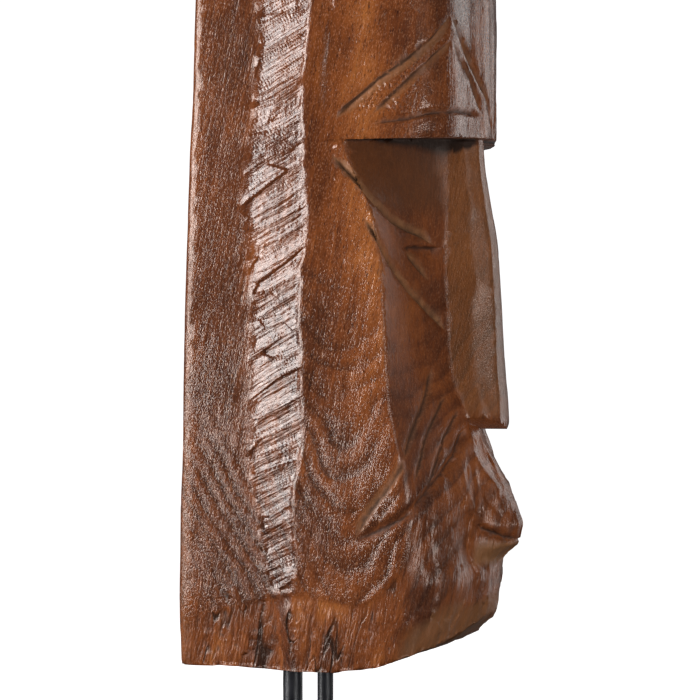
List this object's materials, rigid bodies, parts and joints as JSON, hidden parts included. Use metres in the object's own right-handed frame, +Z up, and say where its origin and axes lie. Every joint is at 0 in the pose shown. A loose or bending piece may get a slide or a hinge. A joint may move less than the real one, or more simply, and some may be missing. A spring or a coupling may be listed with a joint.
{
  "type": "carved head on stand",
  "caption": "Tall stylised ancestor head carved from a wood block, with incised brow, cheek and ear carving, held above a dark plinth on two slim rods that plug into its foot.",
  "frame": {"origin": "middle of the stand's footprint, on the surface it stands on", "axes": "+Z up, the face looks along -Y, the figure's own right side is -X"},
  "size_m": [0.19, 0.224, 0.602],
  "materials": {
    "head_wood": "varnished red-brown hardwood with open pores and tool marks",
    "rod_black": "satin black",
    "plinth_black": "black stained, satin",
    "zinc_steel": "zinc plated",
    "foot_rubber": "matt black"
  },
  "bodies": {
    "stand": {"plinth": "plinth_black", "rod_right": "rod_black", "rod_left": "rod_black", "shoulder_washer_right": "rod_black", "shoulder_washer_left": "rod_black", "nut_washer_right": "zinc_steel", "nut_washer_left": "zinc_steel", "nut_right": "zinc_steel", "nut_left": "zinc_steel", "foot_front_right": "foot_rubber", "foot_front_left": "foot_rubber", "foot_back_right": "foot_rubber", "foot_back_left": "foot_rubber"},
    "head": {"carved_head": "head_wood"}
  },
  "joints": [
    {"name": "head_lift", "type": "slide", "parent": "stand", "child": "head", "axis": [0, 0, 1], "range_m": [0, 0.09]}
  ]
}
